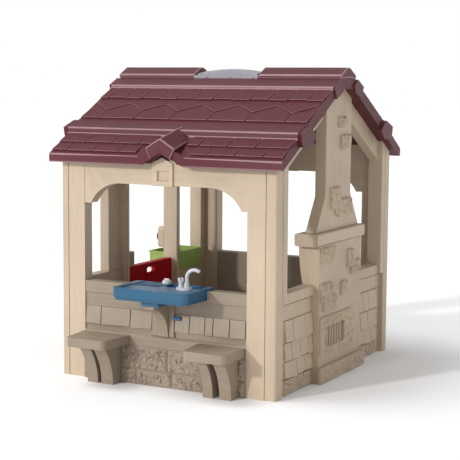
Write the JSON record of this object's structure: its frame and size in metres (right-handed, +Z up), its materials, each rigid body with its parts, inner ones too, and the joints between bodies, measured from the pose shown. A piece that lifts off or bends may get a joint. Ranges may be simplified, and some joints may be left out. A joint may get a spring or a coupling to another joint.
{
  "type": "plastic playhouse",
  "caption": "Gabled plastic playhouse with open front and back, half door, chimney, skylight, small dormers, play sink with faucet, outside stools and a window tray.",
  "frame": {"origin": "on the floor, under the centre of the whole playhouse with its stools, eaves and tray", "axes": "+Z up; -Y is the front with the sink and the two stools; +X is the chimney gable and -X is the gable with the half door"},
  "size_m": [1.404, 1.715, 1.608],
  "materials": {
    "plastic_beige": "rotomoulded polyethylene, satin, faint wood grain",
    "plastic_taupe": "rotomoulded polyethylene, satin, stone and shingle texture",
    "plastic_maroon": "rotomoulded polyethylene, satin, shingle texture",
    "plastic_crimson": "rotomoulded polyethylene, semi gloss",
    "plastic_blue": "rotomoulded polyethylene, semi gloss",
    "plastic_green": "rotomoulded polyethylene, satin",
    "plastic_white": "injection moulded, glossy",
    "plastic_smoke": "injection moulded, slightly translucent grey",
    "steel_pin": "plain steel",
    "rubber_bellows": "soft rubber"
  },
  "bodies": {
    "house": {"front_left_post": "plastic_beige", "front_right_post": "plastic_beige", "back_left_post": "plastic_beige", "back_right_post": "plastic_beige", "front_header": "plastic_beige", "back_header": "plastic_beige", "left_wall_front": "plastic_beige", "left_wall_back": "plastic_beige", "left_gable": "plastic_beige", "door_threshold": "plastic_beige", "right_wall_front": "plastic_beige", "right_wall_back": "plastic_beige", "right_gable": "plastic_beige", "chimney_breast": "plastic_beige", "fireplace_surround": "plastic_beige", "mantel": "plastic_beige", "chimney_stack": "plastic_beige", "doorbell_housing": "plastic_beige", "hearth": "plastic_beige", "fireplace_bars": "plastic_beige", "front_wall": "plastic_taupe", "back_wall": "plastic_taupe", "corbel": "plastic_taupe", "left_stool": "plastic_taupe", "right_stool": "plastic_taupe", "upper_hinge_bracket": "plastic_taupe", "lower_hinge_bracket": "plastic_taupe", "front_roof": "plastic_maroon", "back_roof": "plastic_maroon", "left_ridge_cap": "plastic_maroon", "right_ridge_cap": "plastic_maroon", "front_dormer_cap": "plastic_maroon", "back_dormer_cap": "plastic_maroon", "counter": "plastic_blue", "drain_grate": "plastic_blue", "counter_clip": "plastic_blue", "window_tray": "plastic_green", "inside_bench": "plastic_green", "faucet_base": "plastic_white", "skylight_frame": "plastic_smoke", "skylight_dome": "plastic_smoke", "skylight_rivets": "plastic_smoke", "hinge_pins": "steel_pin", "doorbell_spring": "rubber_bellows"},
    "half_door": {"half_door": "plastic_crimson"},
    "doorbell_button": {"doorbell_button": "plastic_maroon"},
    "faucet_spout": {"faucet_spout": "plastic_white"},
    "tap_knob": {"tap_knob": "plastic_white"},
    "counter_dial": {"counter_dial": "plastic_white"}
  },
  "joints": [
    {"name": "half_door_hinge", "type": "hinge", "parent": "house", "child": "half_door", "pos_m": [-0.537, -0.1555, 0], "axis": [0, 0, 1], "range_deg": [0, 90]},
    {"name": "doorbell_press", "type": "slide", "parent": "house", "child": "doorbell_button", "axis": [1, 0, 0], "range_m": [0, 0.004], "stiffness_N_per_m": 400, "springref_m": -0.001, "deforming": ["doorbell_spring"]},
    {"name": "faucet_spout_swivel", "type": "hinge", "parent": "house", "child": "faucet_spout", "pos_m": [0.175, -0.7055, 0], "axis": [0, 0, 1], "range_deg": [-90, 90]},
    {"name": "tap_knob_turn", "type": "hinge", "parent": "house", "child": "tap_knob", "pos_m": [0.144, -0.7095, 0], "axis": [0, 0, 1], "range_deg": [0, 180]},
    {"name": "counter_dial_turn", "type": "hinge", "parent": "house", "child": "counter_dial", "pos_m": [0.003, -0.6075, 0], "axis": [0, 0, 1], "continuous": true}
  ]
}
